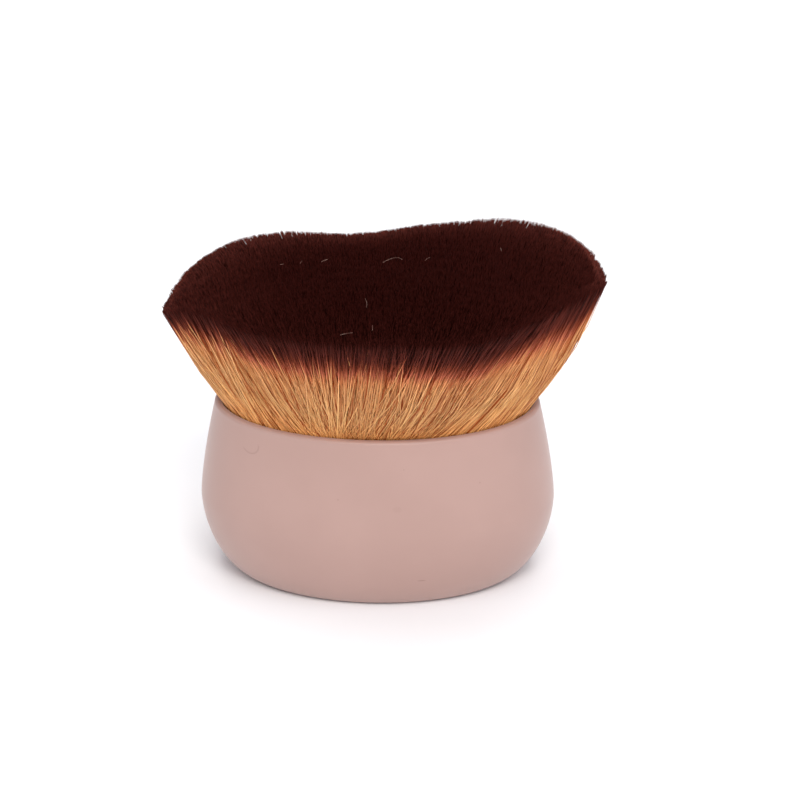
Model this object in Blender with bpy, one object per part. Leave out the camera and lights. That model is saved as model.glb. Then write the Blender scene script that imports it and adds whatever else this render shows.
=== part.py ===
"""Oval kabuki-style makeup brush: a low moulded handle with a flared, wave-cut head of soft filaments.

All lengths are metres, +Z points up and the origin is the centre of the handle's flat base. Seen from the
front, +X is to the right, the taller end of the head. Nothing on the brush moves.

The handle is one moulding with an oval socket in its top. A thin ferrule cup is bonded into the socket. The
filaments stand in the cup in a bed of hardened glue, pass the handle's lip and flare to a wider head. They are
grouped in a core bundle and six outer bundles, and each bundle is fused to its own slice of the glue bed.
"""

import math

import bmesh
import bpy
import numpy as np

# Handle, outside
HANDLE_HEIGHT = 0.0362
BELLY_HEIGHT = 0.0162
FOOT_WIDTH = 0.0522
FOOT_DEPTH = 0.0344
BELLY_WIDTH = 0.0702
BELLY_DEPTH = 0.0463
RIM_WIDTH = 0.0638
RIM_DEPTH = 0.0421
LIP_RADIUS = 0.0008
LOWER_CURVE_POWER = 1.75
UPPER_CURVE_POWER = 1.4

# Socket in the handle's top, and what is bonded into it
LIP_WALL = 0.0012
SOCKET_DEPTH = 0.0162
FIT_GAP = 0.0003
ADHESIVE_THICKNESS = 0.0009
ADHESIVE_SETBACK = 0.0012
CUP_WALL = 0.0007
CUP_HEIGHT = 0.0090
GLUE_BED_HEIGHT = 0.0060
BRISTLE_EMBED = 0.0020

# Head: the plan of the tips. Each power has a base, what the middle adds and what the right end adds
HEAD_WIDTH = 0.0866
HEAD_DEPTH = 0.0639
HEAD_SHIFT_RIGHT = 0.0012
HEAD_SHIFT_BACK = 0.0009
FRONT_POWERS = (1.11, 0.61, 0.13)
BACK_POWERS = (2.29, 0.65, -0.31)
SIDE_CHANGE_SHARPNESS = 6.0
WAIST_DEPTH = 0.0059
WAIST_PLACE_SHARE = -0.13
WAIST_LENGTH_SHARE = 0.35
BACK_DIMPLE_DEPTH = 0.0024
BACK_DIMPLE_PLACE_SHARE = 0.32
BACK_DIMPLE_LENGTH_SHARE = 0.19
BULGE_DEPTH = 0.0060
BULGE_PLACE_SHARE = 0.49
BULGE_LENGTH_SHARE = 0.28
RIGHT_LOBE_DEPTH = 0.0032
LEFT_END_SKEW_SHARE = 0.05

# Head: the heights of the tips
EDGE_STANDOUT = 0.0253
RIGHT_RISE = 0.0028
BACK_RISE = 0.0004
SIDE_FALL = 0.0012
LEFT_END_FALL = 0.0027
RIGHT_END_FALL = 0.0014
END_FALL_POWER = 6.0
FRONT_CORNER_FALL = 0.0010
TWIST_FALL = 0.0007
WAVE_DIP = 0.0013
CROWN_RISE = 0.0020
CROWN_POWER = 2.5
EDGE_ROUND = 0.0012
EDGE_ROUND_POWER = 12.0

# Strands: ring k of the head holds 6 k strands, so every border between bundles runs between strands
RING_COUNT = 10
CORE_RING_COUNT = 5
STRAND_SIDES = 3
FLARE_BOW_SHARE = 0.47
FLARE_BOW_RIGHT_SHARE = 0.09
SHOULDER_PLACE_SHARE = 0.84
BED_THICKNESS_SHARE = 0.40
RIM_THICKNESS_SHARE = 0.50
SHOULDER_THICKNESS_SHARE = 0.54

# Facets
OVAL_SEGMENTS = 72
LOWER_ROWS = 16
UPPER_ROWS = 8
LIP_ROWS = 4
SLICE_ARC_SEGMENTS = 8

# Places worked out from the sizes above
SOCKET_FLOOR = HANDLE_HEIGHT - SOCKET_DEPTH
ADHESIVE_BOTTOM = SOCKET_FLOOR + FIT_GAP
CUP_BOTTOM = ADHESIVE_BOTTOM + ADHESIVE_THICKNESS + FIT_GAP
CUP_TOP = CUP_BOTTOM + CUP_HEIGHT
BED_BOTTOM = CUP_BOTTOM + CUP_WALL + FIT_GAP
BED_TOP = BED_BOTTOM + GLUE_BED_HEIGHT

SOCKET_HALF = np.array([RIM_WIDTH, RIM_DEPTH]) / 2 - LIP_WALL
CUP_OUTER_HALF = SOCKET_HALF - FIT_GAP
CUP_INNER_HALF = CUP_OUTER_HALF - CUP_WALL
BED_HALF = CUP_INNER_HALF - FIT_GAP
MOUTH_HALF = SOCKET_HALF - FIT_GAP

RING_PITCH = 1 / (RING_COUNT + 0.5)
TIP_SPREAD = 1 / (RING_COUNT * RING_PITCH)
CORE_BORDER = (CORE_RING_COUNT + 0.5) * RING_PITCH
SECTOR_COUNT = 6
SECTOR_ANGLE = 2 * math.pi / SECTOR_COUNT
SECTOR_NAMES = ("back_right", "back", "back_left", "front_left", "front", "front_right")


def clear_scene():
    """Removes every object of the scene."""
    for item in list(bpy.data.objects):
        bpy.data.objects.remove(item, do_unlink=True)


def make_material(name, colour, roughness, metallic=0.0):
    """Returns a Principled material of one colour."""
    material = bpy.data.materials.new(name)
    material.use_nodes = True
    shader = material.node_tree.nodes["Principled BSDF"]
    shader.inputs["Base Color"].default_value = (*colour, 1.0)
    shader.inputs["Roughness"].default_value = roughness
    shader.inputs["Metallic"].default_value = metallic
    return material


def link_object(name, build, material=None, smooth_angle=40.0):
    """Turns a bmesh into a linked object, with its faces pointing out.

    Args:
        name: the object's name.
        build: the bmesh, which is freed.
        material: the object's one material, or None for a helper.
        smooth_angle: edges sharper than this many degrees stay sharp.
    """
    bmesh.ops.recalc_face_normals(build, faces=build.faces)
    mesh = bpy.data.meshes.new(name)
    build.to_mesh(mesh)
    build.free()
    mesh.shade_smooth()
    mesh.set_sharp_from_angle(angle=math.radians(smooth_angle))
    if material is not None:
        mesh.materials.append(material)
    item = bpy.data.objects.new(name, mesh)
    bpy.context.collection.objects.link(item)
    return item


def oval(half, height, segments=OVAL_SEGMENTS):
    """Returns the points of a level oval with half sizes half, one row each."""
    angles = np.arange(segments) * 2 * math.pi / segments
    return np.column_stack([half[0] * np.cos(angles), half[1] * np.sin(angles), np.full(segments, height)])


def loft(build, rings):
    """Joins closed rings of points, in order, with bands of quads and caps both ends."""
    loops = [[build.verts.new(point) for point in ring] for ring in rings]
    for lower, upper in zip(loops, loops[1:]):
        for here in range(len(lower)):
            after = (here + 1) % len(lower)
            build.faces.new((lower[here], lower[after], upper[after], upper[here]))
    build.faces.new(tuple(reversed(loops[0])))
    build.faces.new(loops[-1])


def handle_half(height, foot, belly, rim):
    """Returns half the handle's size across at a height.

    Below the belly the side is a superellipse that leaves the flat base level and reaches the belly upright.
    Above it the side leans in as a power of the height above the belly.
    """
    if height <= BELLY_HEIGHT:
        below = 1 - height / BELLY_HEIGHT
        rise = (1 - below ** LOWER_CURVE_POWER) ** (1 / LOWER_CURVE_POWER)
        return (foot + (belly - foot) * rise) / 2
    above = (height - BELLY_HEIGHT) / (HANDLE_HEIGHT - BELLY_HEIGHT)
    return (belly - (belly - rim) * above ** UPPER_CURVE_POWER) / 2


def handle_ring(height, inset=0.0):
    """Returns the oval of the handle's outside at a height, drawn in by inset."""
    half_width = handle_half(height, FOOT_WIDTH, BELLY_WIDTH, RIM_WIDTH)
    half_depth = handle_half(height, FOOT_DEPTH, BELLY_DEPTH, RIM_DEPTH)
    return oval((half_width - inset, half_depth - inset), height)


def build_handle(material):
    """Builds the handle: base, belly, rounded lip and the blind oval socket, as one closed loft."""
    lip_start = HANDLE_HEIGHT - LIP_RADIUS
    rings = []
    for row in range(LOWER_ROWS + 1):
        rings.append(handle_ring(BELLY_HEIGHT * (row / LOWER_ROWS) ** 2))
    for row in range(1, UPPER_ROWS + 1):
        rings.append(handle_ring(BELLY_HEIGHT + (lip_start - BELLY_HEIGHT) * row / UPPER_ROWS))
    for row in range(1, LIP_ROWS + 1):
        turn = math.pi / 2 * row / LIP_ROWS
        ring = handle_ring(lip_start, LIP_RADIUS * (1 - math.cos(turn)))
        ring[:, 2] = lip_start + LIP_RADIUS * math.sin(turn)
        rings.append(ring)
    rings.append(oval(SOCKET_HALF, HANDLE_HEIGHT))
    rings.append(oval(SOCKET_HALF, SOCKET_FLOOR))
    build = bmesh.new()
    loft(build, rings)
    return link_object("handle_body", build, material)


def build_cup(material):
    """Builds the ferrule cup: an oval cup of even wall that stands open upwards in the socket."""
    floor_top = CUP_BOTTOM + CUP_WALL
    rings = [
        oval(CUP_OUTER_HALF, CUP_BOTTOM),
        oval(CUP_OUTER_HALF, CUP_TOP),
        oval(CUP_INNER_HALF, CUP_TOP),
        oval(CUP_INNER_HALF, floor_top),
    ]
    build = bmesh.new()
    loft(build, rings)
    return link_object("ferrule_cup", build, material)


def build_adhesive(material):
    """Builds the pad of adhesive between the socket's floor and the cup."""
    half = SOCKET_HALF - ADHESIVE_SETBACK
    build = bmesh.new()
    loft(build, [oval(half, ADHESIVE_BOTTOM), oval(half, ADHESIVE_BOTTOM + ADHESIVE_THICKNESS)])
    return link_object("cup_adhesive", build, material)


def bell(across, place, length):
    """Returns a bell curve over the width, 1 at its place and falling off over its length."""
    return np.exp(-(((across - place) / length) ** 2))


def tip_plan(disk):
    """Maps points of the unit disk to the head's plan, as shares of its half sizes.

    The disk becomes a superellipse whose power changes with the turn: low in front, where both ends come to a
    rounded point, and high at the back. The left end leans to the back. The back edge is drawn in at the waist
    and a dimple, the front edge bulges, and the right lobe is deeper than the left one. Each step keeps the
    order of the points, so no two strands cross.
    """
    radius = np.hypot(disk[..., 0], disk[..., 1])
    angle = np.arctan2(disk[..., 1], disk[..., 0])
    cosine = np.cos(angle)
    sine = np.sin(angle)
    front_power = FRONT_POWERS[0] + FRONT_POWERS[1] * np.abs(sine) + FRONT_POWERS[2] * cosine
    back_power = BACK_POWERS[0] + BACK_POWERS[1] * np.abs(sine) + BACK_POWERS[2] * cosine
    power = front_power + (back_power - front_power) * (1 + np.tanh(SIDE_CHANGE_SHARPNESS * sine)) / 2
    reach = (np.abs(cosine) ** power + np.abs(sine) ** power) ** (-1 / power)
    back = radius * reach * sine
    across = radius * reach * cosine
    across = across + LEFT_END_SKEW_SHARE * back * np.clip(-across, 0, 1) ** 3
    drawn_in = WAIST_DEPTH * bell(across, WAIST_PLACE_SHARE, WAIST_LENGTH_SHARE)
    drawn_in = drawn_in + BACK_DIMPLE_DEPTH * bell(across, BACK_DIMPLE_PLACE_SHARE, BACK_DIMPLE_LENGTH_SHARE)
    pushed_out = BULGE_DEPTH * bell(across, BULGE_PLACE_SHARE, BULGE_LENGTH_SHARE)
    back_side = np.clip(back, 0, 1) ** 2
    front_side = np.clip(-back, 0, 1) ** 2
    half_depth = HEAD_DEPTH / 2
    shaped = back - drawn_in / half_depth * back_side - pushed_out / half_depth * front_side
    return across, shaped * (1 + RIGHT_LOBE_DEPTH / half_depth * across)


def tip_points(disk):
    """Maps points of the unit disk to the cut surface of the tips.

    The surface is a low crown with a rounded edge. It rises to the right and to the back, falls to both ends
    and to the front corners, and has one shallow wave across the waist.
    """
    across, back = tip_plan(disk)
    radius = np.hypot(disk[..., 0], disk[..., 1])
    wave = bell(across, WAIST_PLACE_SHARE, WAIST_LENGTH_SHARE) * (1 + back) / 2
    left_end = np.clip(-across, 0, 1) ** END_FALL_POWER
    right_end = np.clip(across, 0, 1) ** END_FALL_POWER
    height = HANDLE_HEIGHT + EDGE_STANDOUT + RIGHT_RISE * across + BACK_RISE * back
    height = height - SIDE_FALL * across ** 2 - TWIST_FALL * across * back - WAVE_DIP * wave
    height = height - LEFT_END_FALL * left_end - RIGHT_END_FALL * right_end
    height = height - FRONT_CORNER_FALL * np.clip(-back, 0, 1) ** 2 * across ** 2
    height = height + CROWN_RISE * (1 - radius ** CROWN_POWER) + EDGE_ROUND * (1 - radius ** EDGE_ROUND_POWER)
    x = HEAD_SHIFT_RIGHT + HEAD_WIDTH / 2 * across
    y = HEAD_SHIFT_BACK + HEAD_DEPTH / 2 * back
    return np.stack([x, y, height], axis=-1)


def level_points(disk, half, height):
    """Maps points of the unit disk to a level oval of the given half sizes."""
    return np.stack([disk[..., 0] * half[0], disk[..., 1] * half[1], np.full(disk.shape[:-1], height)], axis=-1)


def root_points(disk):
    """Maps points of the unit disk to the buried ends, on the line from the lip through the bed's top."""
    top = level_points(disk, BED_HALF, BED_TOP)
    lip = level_points(disk, MOUTH_HALF, HANDLE_HEIGHT)
    return top + (top - lip) * BRISTLE_EMBED / (HANDLE_HEIGHT - BED_TOP)


def flare_points(disk, share):
    """Maps points of the unit disk to the flare, a share of the way up from the lip to the tips.

    A strand leans out most at the lip and straightens towards its tip, a little more so to the right.
    """
    lip = level_points(disk, MOUTH_HALF, HANDLE_HEIGHT)
    tip = tip_points(disk)
    across, _ = tip_plan(disk)
    bow = (FLARE_BOW_SHARE + FLARE_BOW_RIGHT_SHARE * across)[..., None]
    lean = (1 + bow) * share - bow * share ** 2
    path = lip + (tip - lip) * share
    path[..., :2] = lip[..., :2] + (tip[..., :2] - lip[..., :2]) * lean
    return path


def strand_centres(rings):
    """Returns the places of the strands of the given rings in the unit disk."""
    places = []
    for ring in rings:
        count = max(1, SECTOR_COUNT * ring)
        for step in range(count):
            angle = (step + 0.5) * 2 * math.pi / count
            places.append((ring * RING_PITCH * math.cos(angle), ring * RING_PITCH * math.sin(angle)))
    return np.array(places)


def strand_sections(centres, thickness_share):
    """Returns the corners of each strand's section in the unit disk, one corner pointing inwards."""
    inward = np.arctan2(-centres[:, 1], -centres[:, 0])
    angles = inward[:, None] + np.arange(STRAND_SIDES) * 2 * math.pi / STRAND_SIDES
    corners = np.stack([np.cos(angles), np.sin(angles)], axis=-1)
    return centres[:, None, :] + corners * RING_PITCH * thickness_share


def strand_levels(centres):
    """Returns the strands' corner points at the root, the lip and the shoulder, and their tips.

    The tips are spread so that those of the outer ring lie on the edge of the head's plan.
    """
    root = root_points(strand_sections(centres, BED_THICKNESS_SHARE))
    lip = flare_points(strand_sections(centres, RIM_THICKNESS_SHARE), 0.0)
    shoulder = flare_points(strand_sections(centres, SHOULDER_THICKNESS_SHARE), SHOULDER_PLACE_SHARE)
    return (root, lip, shoulder), tip_points(centres * TIP_SPREAD)


def least_gap(points):
    """Returns the least distance between corners of different strands at one level."""
    flat = points.reshape(-1, 3)
    owner = np.repeat(np.arange(len(points)), STRAND_SIDES)
    least = math.inf
    for index, point in enumerate(flat):
        others = flat[owner != owner[index]]
        least = min(least, float(np.linalg.norm(others - point, axis=1).min()))
    return least


def build_strands(name, centres):
    """Builds the strands of one bundle: prisms that run from the glue bed to a pointed tip."""
    levels, tips = strand_levels(centres)
    build = bmesh.new()
    for strand in range(len(centres)):
        rings = [[build.verts.new(point) for point in level[strand]] for level in levels]
        tip = build.verts.new(tips[strand])
        build.faces.new(tuple(reversed(rings[0])))
        for here in range(STRAND_SIDES):
            after = (here + 1) % STRAND_SIDES
            for lower, upper in zip(rings, rings[1:]):
                build.faces.new((lower[here], lower[after], upper[after], upper[here]))
            build.faces.new((rings[-1][here], rings[-1][after], tip))
    return link_object(name, build, None)


def slice_outline(first_angle, last_angle, inner, outer, margin):
    """Returns the outline, in the unit disk, of a ring's sector that is drawn in by margin along its borders."""
    outer_shift = math.asin(margin / outer)
    inner_shift = math.asin(margin / inner)
    outer_angles = np.linspace(first_angle + outer_shift, last_angle - outer_shift, SLICE_ARC_SEGMENTS + 1)
    inner_angles = np.linspace(last_angle - inner_shift, first_angle + inner_shift, SLICE_ARC_SEGMENTS // 2 + 1)
    outer_arc = np.column_stack([np.cos(outer_angles), np.sin(outer_angles)]) * outer
    inner_arc = np.column_stack([np.cos(inner_angles), np.sin(inner_angles)]) * inner
    return np.concatenate([outer_arc, inner_arc])


def build_slice(name, outline, material):
    """Builds one slice of the glue bed from its outline in the unit disk."""
    build = bmesh.new()
    loft(build, [level_points(outline, BED_HALF, BED_BOTTOM), level_points(outline, BED_HALF, BED_TOP)])
    return link_object(name, build, material)


def build_bundle(name, centres, outline, material):
    """Builds a bundle: its strands, fused to their slice of the glue bed."""
    strands = build_strands(name + "_strands", centres)
    strands.hide_render = True
    strands.display_type = "WIRE"
    bundle = build_slice(name, outline, material)
    fuse = bundle.modifiers.new("fuse_strands", "BOOLEAN")
    fuse.operation = "UNION"
    fuse.solver = "EXACT"
    fuse.object = strands
    return bundle


def build_head(material):
    """Builds the core bundle and the six outer bundles round it."""
    margin = FIT_GAP / 2 / BED_HALF.min()
    core_angles = np.arange(SECTOR_COUNT * SLICE_ARC_SEGMENTS // 2) * 2 * math.pi
    core_angles = core_angles / len(core_angles)
    core_outline = np.column_stack([np.cos(core_angles), np.sin(core_angles)]) * (CORE_BORDER - margin)
    core_centres = strand_centres(range(CORE_RING_COUNT + 1))
    build_bundle("bristles_core", core_centres, core_outline, material)
    outer_centres = strand_centres(range(CORE_RING_COUNT + 1, RING_COUNT + 1))
    turns = np.arctan2(outer_centres[:, 1], outer_centres[:, 0]) % (2 * math.pi)
    for sector, place in enumerate(SECTOR_NAMES):
        first = sector * SECTOR_ANGLE
        own = (turns > first) & (turns < first + SECTOR_ANGLE)
        outline = slice_outline(first, first + SECTOR_ANGLE, CORE_BORDER + margin, 1.0, margin)
        build_bundle("bristles_" + place, outer_centres[own], outline, material)
    centres = np.concatenate([core_centres, outer_centres])
    levels, _ = strand_levels(centres)
    for place, level in zip(("root", "lip", "shoulder"), levels):
        print(f"least gap between strands at the {place}: {least_gap(level) * 1000:.2f} mm")
    print(f"strands: {len(centres)}")


def main():
    """Builds the brush."""
    clear_scene()
    pink = make_material("soft_touch_pink", (0.61, 0.40, 0.36), 0.5)
    metal = make_material("cup_aluminium", (0.70, 0.70, 0.71), 0.35, 1.0)
    glue = make_material("clear_adhesive", (0.60, 0.55, 0.42), 0.4)
    filament = make_material("dyed_filament", (0.49, 0.23, 0.08), 0.55)
    build_handle(pink)
    build_adhesive(glue)
    build_cup(metal)
    build_head(filament)


main()
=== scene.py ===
"""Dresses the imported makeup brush: a satin pink handle and a flared, wave-cut head of dip-dyed filaments.

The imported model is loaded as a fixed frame, in metres, with +Z up and the origin at the centre of the flat
base. The handle is drawn again as a finer surface. The seven bristle bundles become tens of thousands of
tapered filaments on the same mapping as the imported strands. The two hidden parts keep their shapes.
"""

import logging
import math
from collections.abc import Iterable, Mapping
from dataclasses import dataclass, field
from enum import Enum
from typing import Any

import bpy
import numpy as np
from mathutils import Matrix, Vector
from numpy.typing import NDArray


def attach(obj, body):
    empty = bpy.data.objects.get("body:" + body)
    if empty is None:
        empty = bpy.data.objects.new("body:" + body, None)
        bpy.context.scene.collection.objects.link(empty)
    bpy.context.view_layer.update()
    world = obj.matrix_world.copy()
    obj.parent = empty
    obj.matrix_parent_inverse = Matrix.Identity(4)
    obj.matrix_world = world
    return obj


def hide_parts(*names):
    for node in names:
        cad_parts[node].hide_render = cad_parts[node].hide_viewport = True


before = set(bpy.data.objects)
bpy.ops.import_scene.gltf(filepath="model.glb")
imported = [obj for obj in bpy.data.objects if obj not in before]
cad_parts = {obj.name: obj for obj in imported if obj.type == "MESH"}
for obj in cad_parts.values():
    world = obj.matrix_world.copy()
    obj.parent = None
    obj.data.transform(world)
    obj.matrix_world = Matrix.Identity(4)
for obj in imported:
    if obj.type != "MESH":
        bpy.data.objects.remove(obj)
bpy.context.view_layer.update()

Array = NDArray[np.float64]
WholeArray = NDArray[np.int64]
Colour = tuple[float, float, float]
Pair = tuple[float, float]

LOG = logging.getLogger("brush")
BODY = "root"
FILAMENT_MAP = "OFBake"
GOLDEN_ANGLE = math.pi * (3 - math.sqrt(5))
SHARP_ANGLE = math.radians(40)

# How a shade's gain acts on red, green and blue, as powers of it.
GOLD_GAIN = (1.0, 1.75, 2.8)
DARK_GAIN = (1.4, 1.8, 2.0)
TIP_GAIN = (0.4, 0.4, 0.4)


class Slot(Enum):
    """The record's material slots."""

    HANDLE = "handle"
    FILAMENT = "filament"
    CUP = "cup"
    ADHESIVE = "adhesive"


class Bundle(Enum):
    """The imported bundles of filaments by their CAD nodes' names, the outer ones in the order of turn."""

    BACK_RIGHT = "bristles_back_right"
    BACK = "bristles_back"
    BACK_LEFT = "bristles_back_left"
    FRONT_LEFT = "bristles_front_left"
    FRONT = "bristles_front"
    FRONT_RIGHT = "bristles_front_right"
    CORE = "bristles_core"


OUTER_BUNDLES = tuple(bundle for bundle in Bundle if bundle is not Bundle.CORE)


class Signal:
    """A shader's output socket that takes part in Python sums, each of which adds its Math node."""

    def __init__(self, recipe: "Recipe", socket: bpy.types.NodeSocket) -> None:
        """Wraps a socket of the recipe's tree."""
        self.recipe = recipe
        self.socket = socket

    def joined(self, operation: str, *terms: Any) -> "Signal":
        """Adds a Math node.

        Args:
            operation: the Math node's operation.
            *terms: its values or signals, in order.

        Returns:
            The node's result.
        """
        return self.recipe.node("ShaderNodeMath", {"operation": operation}, dict(enumerate(terms)))

    def __add__(self, other: Any) -> "Signal":
        """The sum."""
        return self.joined("ADD", self, other)

    def __sub__(self, other: Any) -> "Signal":
        """The difference."""
        return self.joined("SUBTRACT", self, other)

    def __mul__(self, other: Any) -> "Signal":
        """The product."""
        return self.joined("MULTIPLY", self, other)

    def __truediv__(self, other: Any) -> "Signal":
        """The quotient."""
        return self.joined("DIVIDE", self, other)

    def __pow__(self, other: Any) -> "Signal":
        """The power."""
        return self.joined("POWER", self, other)

    def __radd__(self, other: Any) -> "Signal":
        """The sum, with the plain value first."""
        return self.joined("ADD", other, self)

    def __rsub__(self, other: Any) -> "Signal":
        """The difference, with the plain value first."""
        return self.joined("SUBTRACT", other, self)

    def __rmul__(self, other: Any) -> "Signal":
        """The product, with the plain value first."""
        return self.joined("MULTIPLY", other, self)

    def __lt__(self, other: Any) -> "Signal":
        """1 where this is less than the other, else 0."""
        return self.joined("LESS_THAN", self, other)

    def __abs__(self) -> "Signal":
        """The size without its sign."""
        return self.joined("ABSOLUTE", self)

    def step(self, low: float, high: float) -> "Signal":
        """A smooth rise from 0 at low to 1 at high, or a fall where low is the greater."""
        sockets = {"Value": self, "From Min": low, "From Max": high}
        return self.recipe.node("ShaderNodeMapRange", {"interpolation_type": "SMOOTHSTEP"}, sockets)


class Recipe:
    """One material in the making, with the one method that adds nodes to its tree."""

    def __init__(self, name: str) -> None:
        """Starts a material that has only its Principled shader."""
        self.material = bpy.data.materials.new(name)
        self.material.use_nodes = True
        self.tree = self.material.node_tree
        self.shader = self.tree.nodes["Principled BSDF"]

    def node(
        self, kind: str, settings: Mapping[str, Any], sockets: Mapping[Any, Any], output: Any = 0
    ) -> Signal:
        """Adds a node.

        Args:
            kind: the node's type.
            settings: its settings, set first; "stops" holds a ramp's places and colours.
            sockets: values or signals by the input's name or number.
            output: the name or number of the output that is returned.

        Returns:
            That output.
        """
        made = self.tree.nodes.new(kind)
        for name, value in settings.items():
            if name == "stops":
                self.set_stops(made.color_ramp, value)
            else:
                setattr(made, name, value)
        for name, value in sockets.items():
            self.feed(made.inputs[name], value)
        return Signal(self, made.outputs[output])

    def set_stops(self, ramp: bpy.types.ColorRamp, stops: Iterable[tuple[float, Colour]]) -> None:
        """Gives a colour ramp its stops.

        Args:
            ramp: the ramp, which has two stops when it is new.
            stops: each stop's place and colour, in rising order.
        """
        wanted = list(stops)
        while len(ramp.elements) < len(wanted):
            ramp.elements.new(1.0)
        for element, (place, colour) in zip(ramp.elements, wanted):
            element.position = place
            element.color = (*colour, 1.0)

    def feed(self, socket: bpy.types.NodeSocket, value: Any) -> None:
        """Links a signal to an input, or sets the input's own value.

        Args:
            socket: the input.
            value: a signal, a colour or a plain value.
        """
        if isinstance(value, Signal):
            self.tree.links.new(value.socket, socket)
        elif socket.type == "RGBA":
            socket.default_value = (*value, 1.0)
        else:
            socket.default_value = value

    def surface(self, **inputs: Any) -> None:
        """Feeds the Principled shader's inputs, named with _ for a space."""
        for name, value in inputs.items():
            self.feed(self.shader.inputs[name.replace("_", " ")], value)

    def spot(self) -> Signal:
        """Returns the Object coordinates."""
        return self.node("ShaderNodeTexCoord", {}, {}, "Object")

    def parts(self, vector: Signal) -> tuple[Signal, ...]:
        """Returns a vector's three parts as signals."""
        return tuple(self.node("ShaderNodeSeparateXYZ", {}, {0: vector}, axis) for axis in range(3))

    def noise(self, spot: Signal, scale: float, detail: float = 2.0, rough: float = 0.5) -> Signal:
        """Returns noise in 0 to 1 over a place, scale waves to the metre."""
        sockets = {"Vector": spot, "Scale": scale, "Detail": detail, "Roughness": rough}
        return self.node("ShaderNodeTexNoise", {}, sockets, 0)

    def blend(self, share: Any, first: Any, second: Any) -> Signal:
        """Mixes two colours by a share of the second."""
        return self.node("ShaderNodeMix", {"data_type": "RGBA"}, {0: share, 6: first, 7: second}, 2)

    def bump(self, height: Signal, distance: float) -> Signal:
        """Returns a normal bent by a height in 0 to 1 that stands for a distance in metres."""
        return self.node("ShaderNodeBump", {}, {"Height": height, "Distance": distance, "Strength": 1.0})


@dataclass(frozen=True)
class Speck:
    """An oval mark on the handle's front: its middle across and up, its half sizes and how strong it is."""

    x: float
    z: float
    half_width: float
    half_height: float
    strength: float


@dataclass(frozen=True)
class SatinPaint:
    """Soft-touch pink paint on the handle, with a fine grain, slow tint changes and handling marks."""

    tint: Colour = (0.450, 0.286, 0.249)
    deep_tint: Colour = (0.432, 0.273, 0.237)
    mark_tint: Colour = (0.245, 0.132, 0.118)
    scuff_centre: Pair = (-0.02386, 0.03248)
    scuff_radius: float = 0.0017
    scuff_width: float = 0.00024
    scuff_turn: float = -66.0
    scuff_strength: float = 0.30
    specks: tuple[Speck, ...] = (
        Speck(0.00964, 0.00674, 0.0010, 0.00013, 0.60),
        Speck(-0.00645, 0.02450, 0.00016, 0.00016, 0.45),
        Speck(0.02070, 0.02660, 0.00014, 0.00018, 0.45),
        Speck(0.00620, 0.03080, 0.00018, 0.00012, 0.40),
        Speck(0.00490, 0.02280, 0.0011, 0.0008, 0.07),
    )
    roughness: float = 0.47
    rub: float = 0.05
    rub_scale: float = 330.0
    grain_scale: float = 5200.0
    grain_depth: float = 6e-6
    flow_scale: float = 55.0

    def make(self) -> bpy.types.Material:
        """Makes the material.

        The colour slides between two tints with a slow noise and darkens where the paint is marked. The
        roughness rises and falls with a middle-sized noise. The grain is a fine noise as a bump.
        """
        recipe = Recipe("satin_pink_paint")
        spot = recipe.spot()
        flow = recipe.noise(spot, self.flow_scale, 3.0)
        clean = recipe.blend(flow.step(0.35, 0.65), self.tint, self.deep_tint)
        handled = recipe.noise(spot, self.rub_scale, 4.0, 0.6)
        grain = recipe.noise(spot, self.grain_scale, 3.0, 0.6)
        recipe.surface(
            Base_Color=recipe.blend(self.marked(recipe), clean, self.mark_tint),
            Roughness=self.roughness + (handled - 0.5) * self.rub,
            Normal=recipe.bump(grain, self.grain_depth),
            Specular_IOR_Level=0.5,
            Sheen_Weight=0.25,
            Sheen_Roughness=0.4,
        )
        return recipe.material

    def marked(self, recipe: Recipe) -> Signal:
        """Returns where the front is marked, from 0 to 1.

        The scuff is half a thin ring: the distance from its centre is about its radius, on the side that its
        turn gives. A speck is where the squares of the distances across and up, each over its half size, add
        up to less than 1.

        Args:
            recipe: the material in the making.

        Returns:
            The mask, which is 0 on the back.
        """
        x, y, z = recipe.parts(recipe.spot())
        across, up = x - self.scuff_centre[0], z - self.scuff_centre[1]
        ring = abs((across * across + up * up) ** 0.5 - self.scuff_radius).step(self.scuff_width, 0.0)
        turn = math.radians(self.scuff_turn)
        side = (across * math.cos(turn) + up * math.sin(turn)).step(0.0, self.scuff_radius / 2)
        marked = ring * side * self.scuff_strength
        for speck in self.specks:
            across, up = (x - speck.x) / speck.half_width, (z - speck.z) / speck.half_height
            marked = marked + (across * across + up * up).step(1.0, 0.2) * speck.strength
        return marked * (y < 0.0)


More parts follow.
